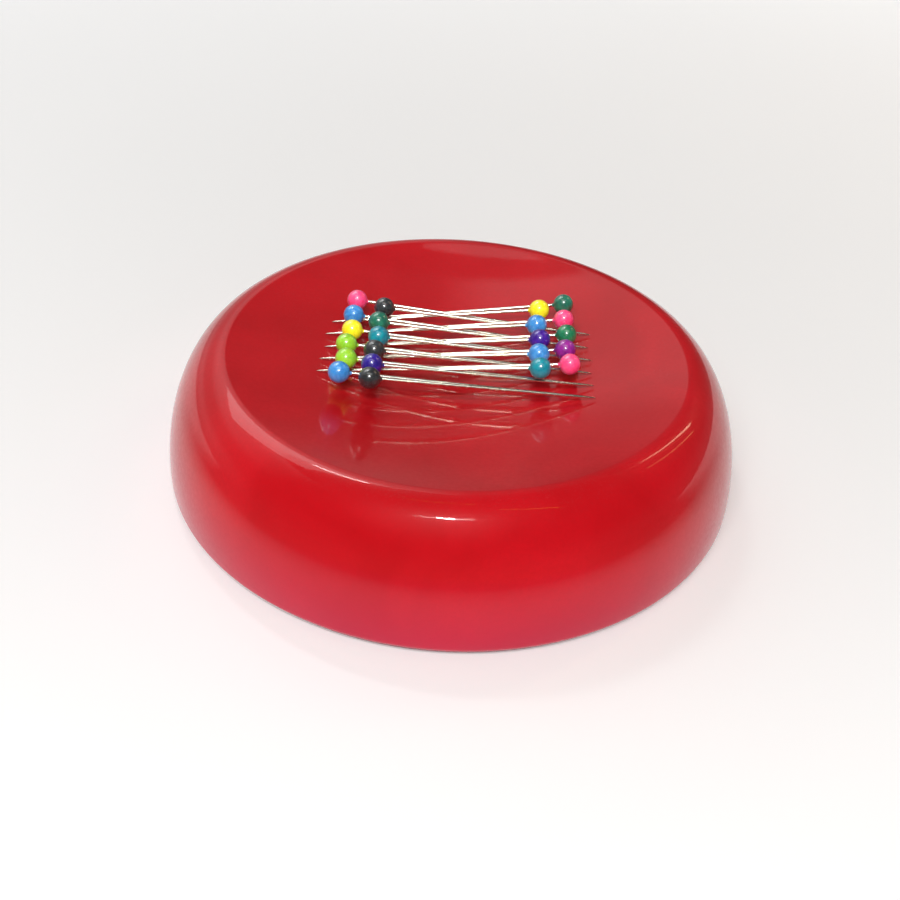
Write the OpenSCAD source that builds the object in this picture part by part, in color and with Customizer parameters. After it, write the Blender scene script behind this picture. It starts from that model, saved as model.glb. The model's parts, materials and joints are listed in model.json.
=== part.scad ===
// Magnetic pin cushion: a round, weighted holder with a shallow dish on top.
// A ring magnet under the dish floor holds a small heap of ball-head quilting pins.
// The origin is the centre of the underside, +Z is up and the pins lie along X.

/* [Body] */
// Widest diameter of the moulded shell
body_d = 104; // [100:1:110]
// Height from the bench to the crest of the shell
body_h = 24; // [23.5:0.5:26]
// Diameter of the shell's lower edge
foot_d = 102; // [100:0.5:103]
// Height of the widest point of the shell
belly_z = 2.6; // [2:0.2:4]
// Diameter of the crest that runs round the dish
crest_d = 82.5; // [80:0.5:85]
// Fullness of the shoulder: 2 is an ellipse, higher is squarer
shoulder_power = 1.85; // [1.7:0.05:2.2]
// Wall thickness of the moulding
wall_t = 2.2; // [1.8:0.1:2.4]

/* [Dish] */
// Depth of the dish below the crest
dish_depth = 6.4; // [6:0.1:6.8]
// Radius of the rounded crest on the dish's side
crest_r = 3; // [2.6:0.2:4]

/* [Base] */
// Thickness of the visible rim of the base cover
rim_t = 0.8; // [0.6:0.1:1]
// Thickness of the base cover
cover_t = 1.8; // [1.6:0.1:2]
// Height of the ring wall that plugs into the shell
plug_h = 3.6; // [3.2:0.1:4]
// Diameter of the non-slip pad
pad_d = 92; // [80:1:94]
// Thickness of the non-slip pad
pad_t = 1.2; // [1:0.1:1.3]
// How far the pad stands below the base cover
pad_proud = 0.6; // [0.4:0.1:0.8]

/* [Magnet] */
// Outer diameter of the ring magnet
magnet_od = 60; // [50:1:62]
// Inner diameter of the ring magnet
magnet_id = 24; // [20:1:28]
// Thickness of the ring magnet
magnet_t = 8; // [7:0.5:8]
// Thickness of the steel keeper plate behind the magnet
keeper_t = 1.2; // [0.8:0.1:1.3]
// Thickness of the foam tape between magnet and shell
tape_t = 0.8; // [0.5:0.1:0.9]

/* [Pins] */
// Overall length of a pin
pin_l = 41; // [40.8:0.1:41.2]
// Diameter of a ball head
head_d = 3.8; // [3.6:0.1:3.8]
// Diameter of a pin's steel shaft
shaft_d = 0.6; // [0.5:0.05:0.6]
// Length of a pin's tapered point
point_l = 7; // [4:1:10]

/* [Hidden] */
$fn = 96;
foot_rad = foot_d / 2;
foot_z = pad_proud + rim_t;
belly_rad = body_d / 2;
inner_rad = belly_rad - wall_t;
shoulder_rise = body_h - belly_z;
shoulder_steps = 20;
foot_steps = 4;

// The bowl of the dish and the crest's arc share a tangent where they meet.
crest_rad = crest_d / 2;
crest_z = body_h - crest_r;
bowl_r = (pow(crest_rad, 2) + pow(dish_depth, 2)) / (2 * dish_depth) - crest_r;
bowl_z = body_h - dish_depth + bowl_r;
join_angle = asin(crest_rad / (bowl_r + crest_r));
crest_steps = 4;
bowl_steps = 10;

// The magnet hangs under the dish: ribs, foam tape, magnet, keeper, clamp ring.
seat_z = body_h - dish_depth - wall_t;
magnet_z = seat_z - tape_t - magnet_t;
keeper_z = magnet_z - keeper_t;
magnet_gap = 0.3;
keeper_lap = 1;
keeper_hole_rad = 6;
collar_rad = magnet_od / 2 + magnet_gap;
collar_t = 2;
collar_h = 8;
collar_root = 4.6;
hub_rad = magnet_id / 2;
hub_t = 2;
hub_root = 1;
rib_count = 8;
rib_t = 1.6;
outer_rib_l = 14;
outer_rib_z = seat_z - 4;

// The base cover snaps into the shell: a bead on its plug wall sits in a groove.
plug_gap = 0.4;
plug_t = 1.8;
plug_rad = inner_rad - plug_gap;
bead_r = 0.5;
groove_r = 0.6;
bead_z = foot_z + plug_h - 1.2;
recess_gap = 0.2;
clamp_rad = 27;
clamp_t = 2;
cover_rib_h = 1.6;

// A pin is placed by the centre of its head, which lies on other pins; its point lies on the floor.
head_r = head_d / 2;
shaft_r = shaft_d / 2;
reach = pin_l - head_r;
tip_r = 0.05;
socket_l = 2.2;
socket_gap = 0.01;
rest_gap = 0.1;

// Head colours
PINK = "hotpink";
BLACK = "#26262a";
FOREST = "#14604a";
BLUE = "#3f8fd0";
TEAL = "#0f8f9a";
YELLOW = "#f2e21c";
LIME = "#86cc2c";
NAVY = "#22128c";
VIOLET = "#42159c";
GREEN = "#17704c";
PURPLE = "#8c1a86";

// The colours of each group's heads, from the back of the dish to the front
LEFT_HEADS = [PINK, BLACK, BLUE, FOREST, YELLOW, TEAL, LIME, BLACK, LIME, NAVY, BLUE, BLACK];
RIGHT_HEADS = [FOREST, YELLOW, PINK, BLUE, GREEN, VIOLET, PURPLE, BLUE, PINK, TEAL];

// The heap: each pin has a lane of its own, and the two groups' lanes alternate, so that their
// shafts pass each other in the middle and each group's heads lie on the other group's points.
lane_pitch = 2.3;
lane_fan = 0.5;
heap_turn = 3;
left_middle = 0.9;
right_middle = left_middle + 1.5 * lane_pitch;
near_head = 14.5;
far_head = 19.5;
near_lift = 3.2;
far_lift = 2.2;
head_stray = 0.3;
stray_turn = 100;

// One pin of a group whose heads are on the left, side -1, or on the right, side 1, counted from
// the back: head x and y, bearing in degrees, lift of the head, colour
function heap_pin(side, middle, colours, i) = let (
    lane = (len(colours) - 1) / 2 - i,
    near = i % 2 == 1,
    turn = heap_turn + side * lane_fan * lane,
    x = side * (near ? near_head : far_head) + head_stray * sin(stray_turn * i),
    y = middle + lane_pitch * lane + x * tan(turn)
) [x, y, side > 0 ? 180 + turn : turn, near ? near_lift : far_lift, colours[i]];

PINS = concat(
    [for (i = [0 : len(LEFT_HEADS) - 1]) heap_pin(-1, left_middle, LEFT_HEADS, i)],
    [for (i = [0 : len(RIGHT_HEADS) - 1]) heap_pin(1, right_middle, RIGHT_HEADS, i)]
);

// Height of the dish floor at a distance from the middle
function bowl_height(rad) = bowl_z - sqrt(pow(bowl_r, 2) - pow(rad, 2));

// Point of the shoulder: a rounded quarter between the belly and the crest
function shoulder(angle) = [
    crest_rad + (belly_rad - crest_rad) * pow(cos(angle), 2 / shoulder_power),
    belly_z + shoulder_rise * pow(sin(angle), 2 / shoulder_power)
];

// Outward direction of the shoulder at the same point
function shoulder_normal(angle) = let (
    across = pow(cos(angle), 2 - 2 / shoulder_power) / (belly_rad - crest_rad),
    along = pow(sin(angle), 2 - 2 / shoulder_power) / shoulder_rise
) [across, along] / norm([across, along]);

// Half section of the shoulder, set in from the outer face
function shoulder_line(inset) = [
    for (i = [0 : shoulder_steps])
        let (angle = 90 * i / shoulder_steps)
        shoulder(angle) - inset * shoulder_normal(angle)
];

// Half section of the crest's inner side and the bowl, set in from the top face
function dish_line(inset) = [
    for (i = [1 : crest_steps])
        let (angle = join_angle * i / crest_steps)
        [crest_rad, crest_z] + (crest_r - inset) * [-sin(angle), cos(angle)],
    for (i = [1 : bowl_steps])
        let (angle = join_angle * (1 - i / bowl_steps))
        [0, bowl_z] + (bowl_r + inset) * [sin(angle), -cos(angle)]
];

// Half section of the rounded lower edge
function foot_line() = [
    for (i = [0 : foot_steps - 1])
        let (angle = 90 * i / foot_steps)
        [foot_rad + (belly_rad - foot_rad) * sin(angle), foot_z + (belly_z - foot_z) * (1 - cos(angle))]
];

function reversed(line) = [for (i = [len(line) - 1 : -1 : 0]) line[i]];

// A round wall standing on height z
module ring(outer, inner, z, height) {
    translate([0, 0, z])
        difference() {
            cylinder(r = outer, h = height);
            translate([0, 0, -1])
                cylinder(r = inner, h = height + 2);
        }
}

// Radial ribs between two radii
module ribs(from, to, z, height) {
    for (i = [0 : rib_count - 1])
        rotate(360 * i / rib_count)
            translate([from, -rib_t / 2, z])
                cube([to - from, rib_t, height]);
}

// Everything below the shell's outer face, as one solid
module shell_form() {
    rotate_extrude()
        polygon(concat([[0, foot_z]], foot_line(), shoulder_line(0), dish_line(0)));
}

// The shell's wall alone
module shell_wall() {
    rotate_extrude()
        polygon(concat(
            [[inner_rad, foot_z]],
            foot_line(),
            shoulder_line(0),
            dish_line(0),
            reversed(concat(shoulder_line(wall_t), dish_line(wall_t)))
        ));
}

// A torus round the Z axis
module bead(rad, z, size) {
    translate([0, 0, z])
        rotate_extrude()
            translate([rad, 0])
                circle(r = size, $fn = 24);
}

module dish_shell() {
    color("crimson")
        difference() {
            union() {
                shell_wall();
                intersection() {
                    shell_form();
                    union() {
                        ring(collar_rad + collar_t, collar_rad, seat_z - collar_h, collar_h + collar_root);
                        ring(hub_rad + hub_t, hub_rad, seat_z, hub_root + 1);
                        ribs(hub_rad + hub_t / 2, collar_rad + collar_t / 2, seat_z, collar_root);
                        ribs(collar_rad + collar_t / 2, collar_rad + collar_t + outer_rib_l, outer_rib_z, body_h);
                    }
                }
            }
            bead(plug_rad, bead_z, groove_r);
        }
}

module magnet_tape() {
    color("white")
        ring(magnet_od / 2, magnet_id / 2, seat_z - tape_t, tape_t);
}

module ring_magnet() {
    color("#3a3a3c")
        ring(magnet_od / 2, magnet_id / 2, magnet_z, magnet_t);
}

module keeper_plate() {
    color("silver")
        ring(magnet_od / 2 + keeper_lap, keeper_hole_rad, keeper_z, keeper_t);
}

module base_cover() {
    color("firebrick")
        difference() {
            union() {
                translate([0, 0, pad_proud])
                    cylinder(r = foot_rad, h = rim_t);
                translate([0, 0, pad_proud])
                    cylinder(r = plug_rad, h = cover_t);
                ring(plug_rad, plug_rad - plug_t, foot_z, plug_h);
                bead(plug_rad, bead_z, bead_r);
                ring(clamp_rad, clamp_rad - clamp_t, pad_proud, keeper_z - pad_proud);
                ribs(clamp_rad - clamp_t / 2, plug_rad - plug_t / 2, pad_proud, cover_t + cover_rib_h);
            }
            translate([0, 0, -1])
                cylinder(r = pad_d / 2 + recess_gap, h = pad_t + 1);
        }
}

module non_slip_pad() {
    color("#38363a")
        cylinder(r = pad_d / 2, h = pad_t);
}

// Heights of a pin's head and point over the dish floor
function head_height(pin) = bowl_height(norm([pin[0], pin[1]])) + head_r + rest_gap + pin[3];
function point_height(pin) =
    bowl_height(norm([pin[0], pin[1]] + reach * [cos(pin[2]), sin(pin[2])])) + shaft_r + rest_gap;

// Puts a pin that is drawn along +X, from the centre of its head, in its place in the heap
module pin_place(pin) {
    slope = asin((point_height(pin) - head_height(pin)) / reach);
    translate([pin[0], pin[1], head_height(pin)])
        rotate([0, -slope, pin[2]])
            children();
}

module pin_head(pin) {
    color(pin[4])
        pin_place(pin)
            rotate([0, 90, 0])
                difference() {
                    sphere(r = head_r, $fn = 48);
                    translate([0, 0, head_r - socket_l])
                        cylinder(r = shaft_r + socket_gap, h = head_r + 1, $fn = 24);
                }
}

module pin_shaft(pin) {
    straight_l = reach - point_l - head_r + socket_l;
    color("lightgray")
        pin_place(pin)
            translate([head_r - socket_l, 0, 0])
                rotate([0, 90, 0])
                    union() {
                        cylinder(r = shaft_r, h = straight_l, $fn = 24);
                        translate([0, 0, straight_l])
                            cylinder(r1 = shaft_r, r2 = tip_r, h = point_l, $fn = 24);
                    }
}

// Node names count the pins from 01.
function two_digits(n) = n < 10 ? str("0", n) : str(n);
function head_node(i) = str("pin_", two_digits(i + 1), "_head");
function shaft_node(i) = str("pin_", two_digits(i + 1), "_shaft");

dish_shell();
magnet_tape();
ring_magnet();
keeper_plate();
base_cover();
non_slip_pad();
for (i = [0 : len(PINS) - 1]) {
    pin_head(PINS[i]);
    pin_shaft(PINS[i]);
}
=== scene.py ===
"""Looks of a magnetic pin cushion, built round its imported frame."""

import json
import math

import bpy
from mathutils import Matrix, Vector

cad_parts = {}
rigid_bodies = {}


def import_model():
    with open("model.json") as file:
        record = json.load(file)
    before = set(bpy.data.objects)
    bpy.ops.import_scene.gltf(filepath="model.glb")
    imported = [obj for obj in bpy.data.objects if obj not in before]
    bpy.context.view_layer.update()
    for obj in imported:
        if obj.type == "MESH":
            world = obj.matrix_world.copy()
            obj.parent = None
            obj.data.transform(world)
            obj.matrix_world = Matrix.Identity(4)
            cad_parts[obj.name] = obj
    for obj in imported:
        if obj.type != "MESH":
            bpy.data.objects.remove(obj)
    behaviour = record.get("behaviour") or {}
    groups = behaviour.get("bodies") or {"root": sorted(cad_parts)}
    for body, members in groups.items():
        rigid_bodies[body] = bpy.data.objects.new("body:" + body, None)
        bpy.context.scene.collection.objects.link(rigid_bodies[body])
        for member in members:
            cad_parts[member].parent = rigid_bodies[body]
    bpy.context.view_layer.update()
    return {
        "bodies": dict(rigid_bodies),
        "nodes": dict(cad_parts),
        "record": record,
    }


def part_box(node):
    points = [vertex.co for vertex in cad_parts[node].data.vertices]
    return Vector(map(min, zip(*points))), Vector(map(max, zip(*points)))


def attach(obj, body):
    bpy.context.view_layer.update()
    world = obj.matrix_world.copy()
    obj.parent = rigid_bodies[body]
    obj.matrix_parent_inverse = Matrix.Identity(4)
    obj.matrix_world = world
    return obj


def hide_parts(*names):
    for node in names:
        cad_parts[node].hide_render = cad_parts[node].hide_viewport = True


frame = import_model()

# ---------------------------------------------------------------- sizes, in millimetres
MM = 0.001
HOLDER = "holder"

shell_low, shell_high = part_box("dish_shell")
cover_low, cover_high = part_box("base_cover")
pad_low, pad_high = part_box("non_slip_pad")

BELLY_R = shell_high.x / MM
BODY_H = shell_high.z / MM
FOOT_Z = shell_low.z / MM
FOOT_R = cover_high.x / MM
COVER_Z = cover_low.z / MM
PAD_R = pad_high.x / MM
PAD_H = pad_high.z / MM

# The shell's section: a full shoulder, a rounded crest and a bowl-shaped dish.
BELLY_Z = 2.6
CREST_R = 41.25
CREST_ROUND = 3.0
SHOULDER_POWER = 1.85
DISH_DEPTH = 6.4
WALL = 2.2
BOWL_R = (CREST_R ** 2 + DISH_DEPTH ** 2) / (2 * DISH_DEPTH) - CREST_ROUND
BOWL_Z = BODY_H - DISH_DEPTH + BOWL_R
JOIN_ANGLE = math.asin(CREST_R / (BOWL_R + CREST_ROUND))

# Pins
HEAD_R = 1.9
SHAFT_R = 0.3
TIP_R = 0.05
POINT_L = 7.0
NECK_L = 0.3
NECK_R = 0.5

# Camera: it stands this far from its aim point, raised and rolled a little.
CAMERA_AIM = Vector((-0.2, -8.2, 6.4))
CAMERA_DISTANCE = 180.0
CAMERA_ELEVATION = math.radians(37.47)
CAMERA_ROLL = math.radians(3.81)
CAMERA_LENS = 39.54

# Room: tones of the walls by the sine of the height angle, and where the lights aim
TARGET = Vector((0, 0, 18))
BACK_WALL = [
    (0.0, 0.25), (0.12, 0.5), (0.22, 0.3), (0.38, 0.35), (0.5, 0.8), (0.7, 0.8), (0.79, 1.05), (0.80, 1.05),
    (0.815, 0.03), (1.0, 0.08)]
FRONT_WALL = [(0.0, 0.10), (0.3, 0.06), (0.8, 0.06), (0.95, 0.1), (1.0, 0.1)]

# The dark card that lies in front of the holder, out of the camera's sight
CARD_INNER = 74
CARD_FULL = 120
CARD_OUTER = 880
CARD_Z = 1.5


# ---------------------------------------------------------------- mesh helpers
def steps(count):
    """Even parts from 0 to 1."""
    return [i / count for i in range(count + 1)]


def on_circle(centre, radius, angle):
    """Point of a half section, with the angle counted from straight up towards the outside."""
    return (centre[0] + radius * math.sin(angle), centre[1] + radius * math.cos(angle))


def mesh_object(name, verts, faces, sharp=40):
    """A smooth-shaded object in the row frame, whose vertices are given in millimetres."""
    mesh = bpy.data.meshes.new(name)
    mesh.from_pydata([Vector(v) * MM for v in verts], [], faces)
    mesh.validate()
    mesh.shade_smooth()
    mesh.set_sharp_from_angle(angle=math.radians(sharp))
    piece = bpy.data.objects.new(name, mesh)
    bpy.context.collection.objects.link(piece)
    return piece


def lathe(name, profile, segments=192, sharp=40, place=None):
    """A closed solid of revolution. The profile runs from the axis, round the outside, back to the axis."""
    verts, rings = [], []
    for radius, height in profile:
        start = len(verts)
        if radius < 1e-6:
            verts.append(Vector((0, 0, height)))
            rings.append([start] * segments)
            continue
        for i in range(segments):
            turn = math.tau * i / segments
            verts.append(Vector((radius * math.cos(turn), radius * math.sin(turn), height)))
        rings.append(list(range(start, start + segments)))
    faces = []
    for near, far in zip(rings, rings[1:]):
        for i in range(segments):
            j = (i + 1) % segments
            corners = [near[i], near[j], far[j], far[i]]
            face = list(dict.fromkeys(corners))
            if len(face) > 2:
                faces.append(face)
    if place is not None:
        verts = [place @ v for v in verts]
    return mesh_object(name, verts, faces, sharp)


# ---------------------------------------------------------------- material helpers
def link_or_set(tree, socket, value):
    if isinstance(value, bpy.types.NodeSocket):
        tree.links.new(value, socket)
    else:
        socket.default_value = value


def add(tree, kind, inputs=None, **settings):
    """Adds a node, with its settings and its inputs, each a value or another node's output."""
    node = tree.nodes.new(kind)
    for key, value in settings.items():
        setattr(node, key, value)
    for key, value in (inputs or {}).items():
        link_or_set(tree, node.inputs[key], value)
    return node


def new_material(name):
    """An empty material and its tree, shader and object coordinates."""
    material = bpy.data.materials.new(name)
    material.use_nodes = True
    tree = material.node_tree
    tree.nodes.clear()
    shader = add(tree, "ShaderNodeBsdfPrincipled")
    output = add(tree, "ShaderNodeOutputMaterial")
    tree.links.new(shader.outputs["BSDF"], output.inputs["Surface"])
    coords = add(tree, "ShaderNodeTexCoord").outputs["Object"]
    return material, tree, shader, coords


def noise(tree, coords, size, detail=2.0, roughness=0.5, distortion=0.0):
    """Noise whose features are about size millimetres wide, from 0 to 1."""
    node = add(tree, "ShaderNodeTexNoise", {
        "Vector": coords, "Scale": 1 / (size * MM), "Detail": detail,
        "Roughness": roughness, "Distortion": distortion})
    return node.outputs["Fac"]


def spread(tree, value, low, high, to_low=0.0, to_high=1.0):
    """Maps low..high of a value to another range, without going past its ends."""
    node = add(tree, "ShaderNodeMapRange", {
        "Value": value, "From Min": low, "From Max": high, "To Min": to_low, "To Max": to_high})
    return node.outputs["Result"]


def blend_colour(tree, factor, first, second, kind="MIX"):
    node = add(tree, "ShaderNodeMix", data_type="RGBA", blend_type=kind)
    link_or_set(tree, node.inputs[0], factor)
    link_or_set(tree, node.inputs[6], first)
    link_or_set(tree, node.inputs[7], second)
    return node.outputs[2]


def calculate(tree, kind, first, second):
    node = add(tree, "ShaderNodeMath", operation=kind)
    link_or_set(tree, node.inputs[0], first)
    link_or_set(tree, node.inputs[1], second)
    return node.outputs[0]


def bump(tree, height, depth, strength=1.0, after=None):
    """A bump as deep as the height's 0 to 1, in millimetres."""
    inputs = {"Height": height, "Distance": depth * MM, "Strength": strength}
    if after is not None:
        inputs["Normal"] = after
    return add(tree, "ShaderNodeBump", inputs).outputs["Normal"]


def finish_shader(tree, shader, colour, roughness, normal=None, **constants):
    """Links the colour, roughness and bump, and sets the constant sockets."""
    link_or_set(tree, shader.inputs["Base Color"], colour)
    link_or_set(tree, shader.inputs["Roughness"], roughness)
    if normal is not None:
        tree.links.new(normal, shader.inputs["Normal"])
    for key, value in constants.items():
        shader.inputs[key.replace("_", " ")].default_value = value


def ramp(tree, value, stops):
    """Grey tones along a value, from pairs of place and tone."""
    node = add(tree, "ShaderNodeValToRGB", {"Fac": value})
    elements = node.color_ramp.elements
    while len(elements) < len(stops):
        elements.new(1.0)
    for element, (place, tone) in zip(elements, stops):
        element.position = place
    for element, (place, tone) in zip(elements, stops):
        element.color = (tone, tone, tone, 1)
    return node.outputs["Color"]


def facing_up(tree):
    """How far the surface faces up, from -1 to 1."""
    geometry = add(tree, "ShaderNodeNewGeometry")
    parts = add(tree, "ShaderNodeSeparateXYZ", {"Vector": geometry.outputs["Normal"]})
    return parts.outputs["Z"]


# ---------------------------------------------------------------- materials
def shell_material():
    """Glossy moulded red plastic, with flow mottling, fine dust, a faint orange peel and a painted purple reflection
    low on the wall.
    """
    material, tree, shader, coords = new_material("shell_red_gloss")
    flow = noise(tree, coords, 22, detail=3, distortion=0.6)
    grain = noise(tree, coords, 0.7, detail=4, roughness=0.7)
    dust = noise(tree, coords, 0.35, detail=5, roughness=0.75)
    clumps = noise(tree, coords, 6, detail=4, roughness=0.6)
    top = spread(tree, facing_up(tree), 0.55, 1.0)

    base = blend_colour(tree, spread(tree, flow, 0.35, 0.65), (0.52, 0.003, 0.007, 1), (0.64, 0.005, 0.012, 1))
    base = blend_colour(tree, spread(tree, grain, 0.3, 0.75, 0.0, 0.35), base, (0.44, 0.004, 0.008, 1))
    # Painted reflection: the base turns purple towards the bottom of the wall, standing in for the tint the lower
    # wall's gloss shows.
    place = add(tree, "ShaderNodeSeparateXYZ", {"Vector": coords})
    low = spread(tree, place.outputs["Z"], 15 * MM, 2 * MM, 0.0, 0.5)
    base = blend_colour(tree, low, base, (0.56, 0.008, 0.075, 1))
    specks = calculate(tree, "MULTIPLY", spread(tree, dust, 0.52, 0.72), spread(tree, clumps, 0.3, 0.7, 0.25, 1.0))
    film = calculate(tree, "MULTIPLY", calculate(tree, "ADD", calculate(tree, "MULTIPLY", specks, 0.07), 0.004), top)
    base = blend_colour(tree, film, base, (0.72, 0.30, 0.32, 1))

    rough = spread(tree, grain, 0.3, 0.7, 0.30, 0.42)
    peel = bump(tree, noise(tree, coords, 1.6, detail=3), 0.006)
    normal = bump(tree, dust, 0.004, after=peel)
    finish_shader(
        tree, shader, base, rough, normal, Specular_IOR_Level=0.12,
        Coat_Weight=0.8, Coat_Roughness=0.045, Coat_IOR=1.36)
    tree.links.new(peel, shader.inputs["Coat Normal"])
    return material


def cover_material():
    """Darker red base moulding with a satin, finely sparked face."""
    material, tree, shader, coords = new_material("base_red_satin")
    spark = noise(tree, coords, 0.45, detail=5, roughness=0.7)
    flow = noise(tree, coords, 15, detail=3, distortion=0.5)
    base = blend_colour(tree, flow, (0.20, 0.012, 0.030, 1), (0.30, 0.016, 0.036, 1))
    base = blend_colour(tree, spread(tree, spark, 0.55, 0.75, 0.0, 0.3), base, (0.42, 0.08, 0.11, 1))
    rough = spread(tree, spark, 0.3, 0.7, 0.34, 0.5)
    finish_shader(tree, shader, base, rough, bump(tree, spark, 0.012), Specular_IOR_Level=0.45)
    return material


def pad_material():
    """Charcoal foam rubber with open cells, painted shade in their pits and a little lint."""
    material, tree, shader, coords = new_material("pad_foam")
    cells = add(tree, "ShaderNodeTexVoronoi", {"Vector": coords, "Scale": 1 / (0.7 * MM), "Randomness": 0.9})
    cell = cells.outputs["Distance"]
    lint = noise(tree, coords, 0.5, detail=6, roughness=0.8)
    cloud = noise(tree, coords, 12, detail=3)
    base = blend_colour(tree, cloud, (0.022, 0.022, 0.025, 1), (0.045, 0.045, 0.05, 1))
    # Painted shade: the open cells' pits, the low points of the bump, are darkened towards black.
    base = blend_colour(tree, spread(tree, cell, 0.0, 0.5, 0.6, 0.0), base, (0.008, 0.008, 0.009, 1))
    base = blend_colour(tree, spread(tree, lint, 0.66, 0.8, 0.0, 0.5), base, (0.28, 0.27, 0.26, 1))
    height = calculate(tree, "ADD", cell, calculate(tree, "MULTIPLY", lint, 0.4))
    rough = spread(tree, lint, 0.3, 0.7, 0.8, 0.95)
    finish_shader(tree, shader, base, rough, bump(tree, height, 0.12), Specular_IOR_Level=0.25)
    return material


def tape_material():
    """White closed-cell foam tape, with painted shade in its cell pits."""
    material, tree, shader, coords = new_material("tape_foam_white")
    cell = add(tree, "ShaderNodeTexVoronoi", {"Vector": coords, "Scale": 1 / (0.4 * MM)}).outputs["Distance"]
    cloud = noise(tree, coords, 5, detail=3)
    base = blend_colour(tree, cloud, (0.72, 0.71, 0.66, 1), (0.86, 0.85, 0.80, 1))
    # Painted shade: the cells' pits, the low points of the bump, are darkened.
    base = blend_colour(tree, spread(tree, cell, 0.0, 0.35, 0.35, 0.0), base, (0.55, 0.54, 0.50, 1))
    finish_shader(tree, shader, base, spread(tree, cloud, 0.3, 0.7, 0.7, 0.85), bump(tree, cell, 0.05))
    return material


def magnet_material():
    """Sintered ferrite: charcoal, slightly sparkling, with pressed pores."""
    material, tree, shader, coords = new_material("magnet_ferrite")
    pores = noise(tree, coords, 0.3, detail=6, roughness=0.8)
    stain = noise(tree, coords, 9, detail=4, distortion=0.8)
    base = blend_colour(tree, stain, (0.028, 0.028, 0.031, 1), (0.06, 0.058, 0.056, 1))
    base = blend_colour(tree, spread(tree, pores, 0.62, 0.78, 0.0, 0.6), base, (0.16, 0.16, 0.17, 1))
    rough = spread(tree, pores, 0.3, 0.7, 0.45, 0.7)
    finish_shader(tree, shader, base, rough, bump(tree, pores, 0.05), Metallic=0.25)
    return material


def keeper_material():
    """Zinc-plated sheet steel with spangle and turning marks."""
    material, tree, shader, coords = new_material("keeper_zinc")
    spangle = add(tree, "ShaderNodeTexVoronoi", {"Vector": coords, "Scale": 1 / (5 * MM)}).outputs["Color"]
    tone = add(tree, "ShaderNodeSeparateColor", {"Color": spangle}).outputs["Red"]
    scratch = noise(tree, coords, 0.25, detail=5, roughness=0.8)
    base = blend_colour(tree, tone, (0.46, 0.47, 0.49, 1), (0.66, 0.67, 0.68, 1))
    rough = calculate(tree, "ADD", spread(tree, tone, 0.0, 1.0, 0.22, 0.38), spread(tree, scratch, 0.4, 0.7, 0.0, 0.12))
    finish_shader(tree, shader, base, rough, bump(tree, scratch, 0.01), Metallic=1.0)
    return material


def steel_material():
    """Nickel-plated pin steel with drawing marks along the shaft and a warm tarnish."""
    material, tree, shader, coords = new_material("pin_steel_nickel")
    tarnish = noise(tree, coords, 3.5, detail=4, roughness=0.65)
    drawn = noise(tree, coords, 0.18, detail=4, roughness=0.7)
    base = blend_colour(tree, spread(tree, tarnish, 0.35, 0.7), (0.88, 0.86, 0.80, 1), (0.74, 0.67, 0.50, 1))
    rough = calculate(tree, "ADD", spread(tree, drawn, 0.3, 0.7, 0.14, 0.26), spread(tree, tarnish, 0.45, 0.7, 0.0, 0.1))
    finish_shader(tree, shader, base, rough, bump(tree, drawn, 0.006), Metallic=1.0)
    return material


def head_material(name, light, dark, glow):
    """Glossy moulded ball: swirled colour, a waxy depth and a polished skin."""
    material, tree, shader, coords = new_material("head_" + name)
    swirl = noise(tree, coords, 1.7, detail=3, distortion=1.2)
    fleck = noise(tree, coords, 0.22, detail=4, roughness=0.7)
    base = blend_colour(tree, spread(tree, swirl, 0.35, 0.65), dark + (1,), light + (1,))
    base = blend_colour(tree, spread(tree, fleck, 0.58, 0.75, 0.0, 0.18), base, glow + (1,))
    rough = spread(tree, fleck, 0.3, 0.7, 0.24, 0.36)
    skin = bump(tree, noise(tree, coords, 0.9, detail=2), 0.01)
    finish_shader(
        tree, shader, base, rough, skin,
        Subsurface_Weight=0.12, Subsurface_Scale=0.6 * MM,
        Coat_Weight=1.0, Coat_Roughness=0.05, Coat_IOR=1.5)
    return material


HEAD_COLOURS = {
    "head_pink": ((0.90, 0.075, 0.22), (0.80, 0.045, 0.16), (1.0, 0.30, 0.45)),
    "head_black": ((0.030, 0.032, 0.034), (0.014, 0.015, 0.017), (0.12, 0.11, 0.12)),
    "head_forest": ((0.020, 0.17, 0.10), (0.008, 0.09, 0.06), (0.10, 0.30, 0.18)),
    "head_blue": ((0.060, 0.27, 0.60), (0.030, 0.18, 0.47), (0.25, 0.50, 0.80)),
    "head_teal": ((0.008, 0.25, 0.30), (0.004, 0.16, 0.22), (0.10, 0.45, 0.52)),
    "head_yellow": ((0.88, 0.80, 0.02), (0.80, 0.66, 0.01), (1.0, 0.95, 0.25)),
    "head_lime": ((0.30, 0.58, 0.03), (0.21, 0.46, 0.02), (0.55, 0.80, 0.20)),
    "head_navy": ((0.032, 0.012, 0.26), (0.016, 0.006, 0.15), (0.12, 0.08, 0.42)),
    "head_violet": ((0.060, 0.010, 0.28), (0.030, 0.005, 0.17), (0.20, 0.08, 0.45)),
    "head_green": ((0.018, 0.20, 0.085), (0.008, 0.12, 0.05), (0.10, 0.36, 0.18)),
    "head_purple": ((0.26, 0.014, 0.24), (0.15, 0.006, 0.15), (0.45, 0.12, 0.42)),
}


# ---------------------------------------------------------------- the holder's pieces
def shoulder_point(angle):
    return (
        CREST_R + (BELLY_R - CREST_R) * math.cos(angle) ** (2 / SHOULDER_POWER),
        BELLY_Z + (BODY_H - BELLY_Z) * math.sin(angle) ** (2 / SHOULDER_POWER))


def shoulder_normal(angle):
    across = math.cos(angle) ** (2 - 2 / SHOULDER_POWER) / (BELLY_R - CREST_R)
    along = math.sin(angle) ** (2 - 2 / SHOULDER_POWER) / (BODY_H - BELLY_Z)
    return Vector((across, along)).normalized()


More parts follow.
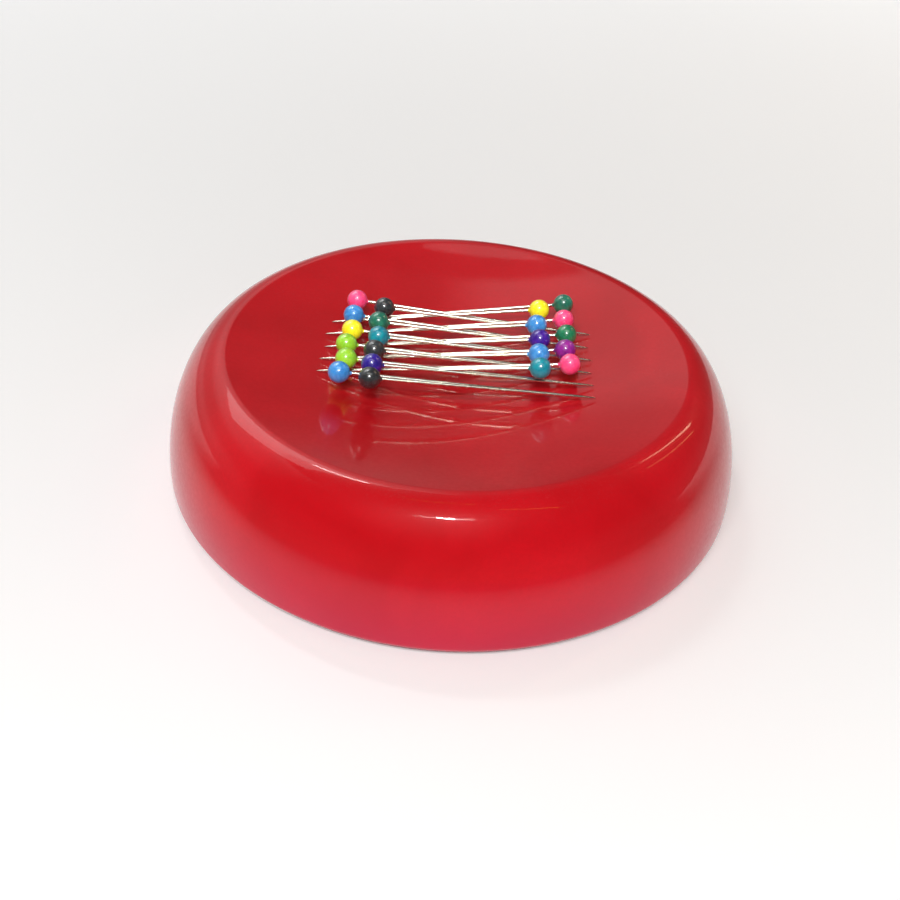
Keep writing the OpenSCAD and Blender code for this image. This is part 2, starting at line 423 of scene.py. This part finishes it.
def shoulder_line(inset, count):
    """Half section from the belly up to the crest, set in from the outer face."""
    line = []
    for part in steps(count):
        angle = min(math.pi / 2 * part, math.pi / 2 - 1e-6)
        point, normal = shoulder_point(angle), shoulder_normal(angle)
        line.append((point[0] - inset * normal[0], point[1] - inset * normal[1]))
    return line


def dish_line(inset, count):
    """Half section from the crest to the middle of the dish, set in from the top face."""
    crest = [on_circle((CREST_R, BODY_H - CREST_ROUND), CREST_ROUND - inset, -JOIN_ANGLE * part)
             for part in steps(count // 3)[1:]]
    bowl = [on_circle((0, BOWL_Z), BOWL_R + inset, math.pi - JOIN_ANGLE * (1 - part)) for part in steps(count)[1:]]
    return crest + bowl


def make_shell(material):
    foot_round = [(FOOT_R + (BELLY_R - FOOT_R) * math.sin(math.pi / 2 * part),
                   FOOT_Z + (BELLY_Z - FOOT_Z) * (1 - math.cos(math.pi / 2 * part))) for part in steps(8)[:-1]]
    outer = foot_round + shoulder_line(0, 72) + dish_line(0, 36)
    inner = shoulder_line(WALL, 36) + dish_line(WALL, 24)
    inner[-1], outer[-1] = (0, inner[-1][1]), (0, outer[-1][1])
    profile = inner[::-1] + [(BELLY_R - WALL, FOOT_Z)] + outer
    shell = lathe("shell_moulding", profile, segments=288)
    shell.data.materials.append(material)
    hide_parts("dish_shell")
    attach(shell, HOLDER)


def make_cover(material):
    """The base cover: a rim with eased edges, a step round the pad and a plug wall inside."""
    ease = 0.25
    rim_top = FOOT_Z
    plug_r = BELLY_R - WALL - 0.4
    recess_r = PAD_R + 0.2
    recess_z = PAD_H
    profile = [
        (0, recess_z), (recess_r, recess_z), (recess_r, COVER_Z + ease), (recess_r + ease, COVER_Z)]
    profile += [on_circle((FOOT_R - ease, COVER_Z + ease), ease, math.pi - math.pi / 2 * part) for part in steps(5)]
    profile += [(FOOT_R, rim_top - 0.1), (FOOT_R - 0.1, rim_top), (plug_r, rim_top), (plug_r, rim_top + 3.6)]
    profile += [(plug_r - 1.8, rim_top + 3.6), (plug_r - 1.8, COVER_Z + 1.8), (0, COVER_Z + 1.8)]
    cover = lathe("base_moulding", profile, segments=240, sharp=30)
    cover.data.materials.append(material)
    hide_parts("base_cover")
    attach(cover, HOLDER)


def make_pad(material):
    """The foam pad: a thin disc with soft rolled edges."""
    roll = 0.35
    profile = [(0, 0)]
    profile += [on_circle((PAD_R - roll, roll), roll, math.pi - math.pi / 2 * part) for part in steps(6)]
    profile += [(PAD_R, PAD_H), (0, PAD_H)]
    pad = lathe("pad_disc", profile, segments=160)
    pad.data.materials.append(material)
    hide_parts("non_slip_pad")
    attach(pad, HOLDER)


def dress_node(node, material):
    """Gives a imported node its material."""
    slots = frame["nodes"][node].data.materials
    slots.clear()
    slots.append(material)


# ---------------------------------------------------------------- the pins
def pin_axis(body):
    """Centre of a pin's head and the way its point lies, in millimetres."""
    low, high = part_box(body + "_head")
    centre = (low + high) / 2 / MM
    ends = [v.co / MM for v in frame["nodes"][body + "_shaft"].data.vertices]
    reach = max((end - centre).length for end in ends)
    tips = [end for end in ends if (end - centre).length > reach - 0.05]
    tip = sum(tips, Vector()) / len(tips)
    return centre, (tip - centre).normalized(), reach


def pin_place(centre, way):
    """Turns a pin drawn along Z, from the centre of its head, into its place."""
    return Matrix.Translation(centre) @ way.to_track_quat("Z", "Y").to_matrix().to_4x4()


def make_head(body, material, centre, way):
    """A ball with a small neck where it is moulded onto the shaft."""
    neck_angle = math.asin(NECK_R / HEAD_R)
    ball = [on_circle((0, 0), HEAD_R, math.pi - (math.pi - neck_angle) * part) for part in steps(28)]
    neck_z = ball[-1][1]
    neck = [(NECK_R - (NECK_R - SHAFT_R) * math.sin(math.pi / 2 * part),
             neck_z + NECK_L * (1 - math.cos(math.pi / 2 * part))) for part in steps(6)[1:]]
    profile = [(0, ball[0][1])] + ball[1:] + neck + [(0, neck[-1][1])]
    head = lathe(body + "_ball", profile, segments=48, sharp=60, place=pin_place(centre, way))
    head.data.materials.append(material)
    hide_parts(body + "_head")
    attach(head, body)
    return head


def make_shaft(body, material, centre, way, reach):
    """A round shaft that tapers to a fine, slightly curved point."""
    start = HEAD_R - 0.6
    taper_z = reach - POINT_L
    taper = [(TIP_R + (SHAFT_R - TIP_R) * math.sqrt(1 - part ** 1.6), taper_z + (POINT_L - 0.03) * part)
             for part in steps(14)[:-1]]
    profile = [(0, start), (SHAFT_R, start)]
    profile += [(SHAFT_R, start + (taper_z - start) * part) for part in steps(6)[1:-1]]
    profile += taper + [(TIP_R, reach - 0.03), (0, reach)]
    shaft = lathe(body + "_wire", profile, segments=20, sharp=60, place=pin_place(centre, way))
    shaft.data.materials.append(material)
    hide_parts(body + "_shaft")
    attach(shaft, body)
    return shaft


# ---------------------------------------------------------------- camera, lights and floor
def camera_axes():
    """The camera's right, up and backward directions."""
    sin_e, cos_e = math.sin(CAMERA_ELEVATION), math.cos(CAMERA_ELEVATION)
    right, up, back = Vector((1, 0, 0)), Vector((0, sin_e, cos_e)), Vector((0, -cos_e, sin_e))
    sin_r, cos_r = math.sin(CAMERA_ROLL), math.cos(CAMERA_ROLL)
    return cos_r * right + sin_r * up, cos_r * up - sin_r * right, back


def make_camera():
    right, up, back = camera_axes()
    data = bpy.data.cameras.new("camera")
    data.lens = CAMERA_LENS
    data.sensor_width = 36
    data.clip_start = 0.01
    camera = bpy.data.objects.new("camera", data)
    rotation = Matrix((right, up, back)).transposed().to_4x4()
    camera.matrix_world = Matrix.Translation((CAMERA_AIM + CAMERA_DISTANCE * back) * MM) @ rotation
    bpy.context.collection.objects.link(camera)
    bpy.context.scene.camera = camera


def direction(azimuth, elevation):
    """Unit vector: azimuth 0 is towards the camera's side (-Y) and 90 is +X."""
    a, e = math.radians(azimuth), math.radians(elevation)
    return Vector((math.sin(a) * math.cos(e), -math.cos(a) * math.cos(e), math.sin(e)))


def area_light(name, centre, along, size, radiance, colour=(1, 1, 1), glossy=True, diffuse=True):
    """A rectangular light that faces the dish, in millimetres, with its length laid along a direction."""
    data = bpy.data.lights.new(name, "AREA")
    data.shape = "RECTANGLE"
    data.size, data.size_y = size[0] * MM, size[1] * MM
    data.energy = radiance * math.pi * size[0] * size[1] * MM * MM
    data.color = colour
    light = bpy.data.objects.new(name, data)
    back = (centre - TARGET).normalized()
    side = (along - along.dot(back) * back).normalized()
    turn = Matrix((side, back.cross(side), back)).transposed().to_4x4()
    light.matrix_world = Matrix.Translation(centre * MM) @ turn
    light.visible_glossy = glossy
    light.visible_diffuse = diffuse
    light.visible_camera = False
    bpy.context.collection.objects.link(light)
    return light


def lamp(name, azimuth, elevation, distance, size, radiance, **settings):
    """An area light in a direction from the dish, with its length level."""
    away = direction(azimuth, elevation)
    return area_light(name, TARGET + away * distance, away.cross(Vector((0, 0, 1))), size, radiance, **settings)


def bar(name, start, end, width, radiance, colour=(1, 1, 1)):
    """A bar of light between two directions from the dish, each an azimuth and a height angle."""
    first, last = (TARGET + direction(*angles) * 600 for angles in (start, end))
    area_light(name, (first + last) / 2, last - first, ((last - first).length, width), radiance, colour)


def make_world():
    """A soft room, told by height: dim in front, pale behind, with a dark lintel over the back wall."""
    world = bpy.data.worlds.new("room")
    bpy.context.scene.world = world
    world.use_nodes = True
    tree = world.node_tree
    tree.nodes.clear()
    coords = add(tree, "ShaderNodeTexCoord").outputs["Generated"]
    parts = add(tree, "ShaderNodeSeparateXYZ", {"Vector": coords})
    height = parts.outputs["Z"]
    back_wall = ramp(tree, height, BACK_WALL)
    front_wall = ramp(tree, height, FRONT_WALL)
    behind = spread(tree, parts.outputs["Y"], -0.25, 0.25)
    right = spread(tree, parts.outputs["X"], -0.03, 0.02, 0.0, 0.9)
    back_wall = blend_colour(tree, right, back_wall, (0.04, 0.04, 0.04, 1))
    colour = blend_colour(tree, behind, front_wall, back_wall)
    back = add(tree, "ShaderNodeBackground", {"Color": colour, "Strength": 1.0})
    output = add(tree, "ShaderNodeOutputWorld")
    tree.links.new(back.outputs["Background"], output.inputs["Surface"])


def floor_material():
    material, tree, shader, coords = new_material("floor_pale")
    paper = noise(tree, coords, 2.0, detail=4)
    tone = noise(tree, coords, 180, detail=2)
    base = blend_colour(tree, tone, (0.90, 0.90, 0.90, 1), (0.94, 0.94, 0.94, 1))
    finish_shader(
        tree, shader, base, spread(tree, paper, 0.3, 0.7, 0.75, 0.9), bump(tree, paper, 0.02),
        Specular_IOR_Level=0.1, Emission_Color=(1, 1, 1, 1))
    # Painted light: the floor glows, its emission rising with distance from the holder so that the far floor reads
    # white.
    far = add(tree, "ShaderNodeVectorMath", {0: coords}, operation="LENGTH").outputs["Value"]
    tree.links.new(spread(tree, far, 0.08, 0.6, 0.12, 0.7), shader.inputs["Emission Strength"])
    return material


def make_floor():
    floor = lathe("floor", [(0, 0), (900, 0)], segments=96)
    floor.data.materials.append(floor_material())


bpy.context.scene.view_settings.view_transform = "Standard"
def make_card():
    """A dark card on the floor in front, which only the gloss sees: it keeps the lower wall's gloss deep."""
    material, tree, shader, coords = new_material("card_dark")
    parts = add(tree, "ShaderNodeSeparateXYZ", {"Vector": coords})
    flat = add(tree, "ShaderNodeCombineXYZ", {"X": parts.outputs["X"], "Y": parts.outputs["Y"]})
    far = add(tree, "ShaderNodeVectorMath", {0: flat.outputs["Vector"]}, operation="LENGTH").outputs["Value"]
    edge = spread(tree, far, CARD_INNER * MM, CARD_FULL * MM)
    front = spread(tree, parts.outputs["Y"], 40 * MM, -20 * MM)
    cloud = noise(tree, coords, 60, detail=3)
    base = blend_colour(tree, cloud, (0.05, 0.05, 0.05, 1), (0.09, 0.085, 0.085, 1))
    finish_shader(tree, shader, base, spread(tree, cloud, 0.3, 0.7, 0.8, 0.95), Specular_IOR_Level=0.1)
    tree.links.new(calculate(tree, "MULTIPLY", edge, front), shader.inputs["Alpha"])
    card = lathe("card", [(CARD_INNER, CARD_Z), (CARD_OUTER, CARD_Z)], segments=96)
    card.data.materials.append(material)
    card.visible_camera = False
    card.visible_diffuse = False
    card.visible_shadow = False


make_camera()
make_world()
make_floor()
make_card()
lamp("key_softbox", 352, 44, 600, (420, 300), 5.8, glossy=False)
lamp("back_softbox", 190, 60, 600, (400, 300), 0.2, glossy=False)
flash_at = Vector((-0.3, -45, 22.3)) + direction(359, 56) * 500
area_light("flash", flash_at, Vector((1, 0, 0)), (50, 20), 150)
area_light("flash_glare", flash_at, Vector((1, 0, 0)), (170, 4), 60)
lamp("window_left", 222, 50, 700, (420, 330), 2.6, diffuse=False)
bar("crest_bar", (217, 57), (204, 63), 24, 40)
bar("back_lens", (177, 57.5), (188, 55.5), 20, 1.3)
bar("strip_front", (290, 80), (55, 83), 8, 9.0, (1.0, 0.5, 0.05))
bar("strip_side", (38, 68), (58, 52), 8, 7.0, (1.0, 0.45, 0.03))
bar("strip_right_1", (131, 48), (127, 28), 26, 10.0, (1.0, 0.75, 0.5))
bar("strip_right_2", (105, 42), (119, 22), 12, 5.0, (1.0, 0.6, 0.25))

make_shell(shell_material())
make_cover(cover_material())
make_pad(pad_material())
dress_node("magnet_tape", tape_material())
dress_node("ring_magnet", magnet_material())
dress_node("keeper_plate", keeper_material())

steel = steel_material()
head_materials = {slot: head_material(slot[len("head_"):], *tones) for slot, tones in HEAD_COLOURS.items()}
head_slots = {part["node"]: part["material_slot"] for part in frame["record"]["subparts"]}
pins = bpy.data.collections.new("pins")
for body in sorted(name for name in frame["bodies"] if name.startswith("pin_")):
    centre, way, reach = pin_axis(body)
    slot = head_slots[body + "_head"]
    pins.objects.link(make_head(body, head_materials[slot], centre, way))
    pins.objects.link(make_shaft(body, steel, centre, way, reach))

for light in (
        area_light("pin_flash", flash_at, Vector((1, 0, 0)), (90, 70), 90),
        lamp("pin_sky", 350, 78, 500, (420, 120), 2.2)):
    light.light_linking.receiver_collection = pins
